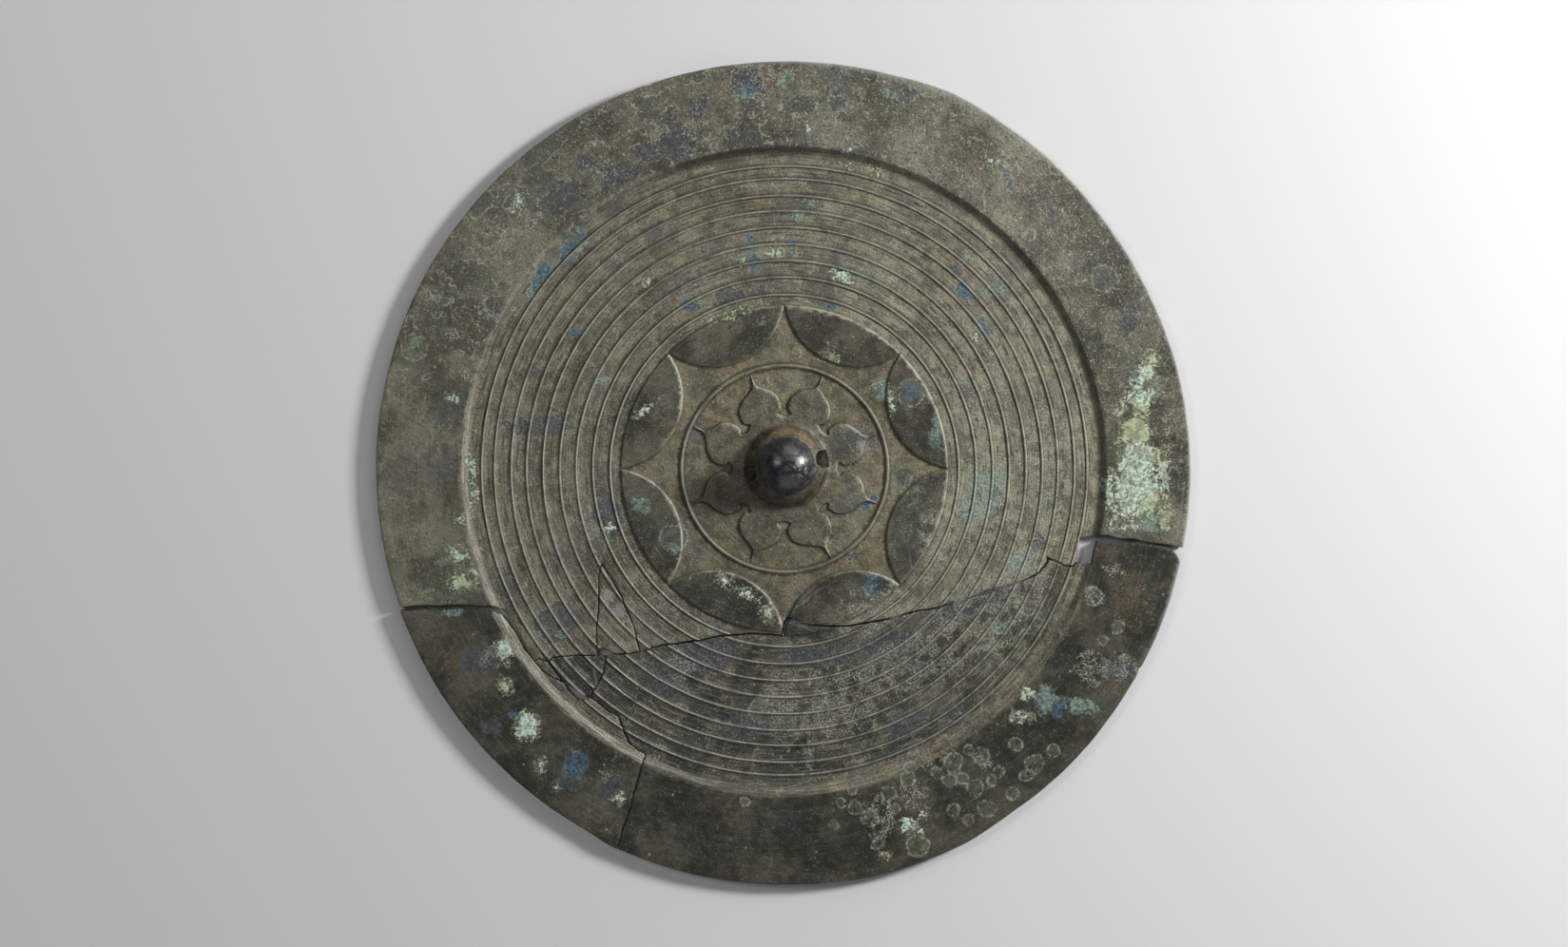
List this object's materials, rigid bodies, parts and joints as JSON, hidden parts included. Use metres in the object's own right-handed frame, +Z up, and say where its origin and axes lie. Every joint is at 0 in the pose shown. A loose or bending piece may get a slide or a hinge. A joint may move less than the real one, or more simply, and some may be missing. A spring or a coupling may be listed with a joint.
{
  "type": "bronze mirror",
  "caption": "Very large round cast bronze mirror, broken and laid together, with linked arcs, leaves, fine ridges and a pierced knob on its back.",
  "frame": {"origin": "on the flat reflecting face, which lies underneath, at the centre of the rings on the back", "axes": "+Z up through the knob, +Y towards the top of the picture, +X towards its right"},
  "size_m": [0.4639, 0.4691, 0.0276],
  "materials": {
    "olive_bronze": "old bronze with an olive-brown patina and green, blue and pale crusts",
    "dark_bronze": "old bronze with a dark grey-brown patina and small pale spots"
  },
  "bodies": {
    "root": {"upper_fragment": "olive_bronze", "left_rim_fragment": "olive_bronze", "lower_fragment": "dark_bronze", "triangle_fragment": "dark_bronze", "ring_fragment": "dark_bronze", "sliver_fragment": "dark_bronze"}
  },
  "joints": []
}
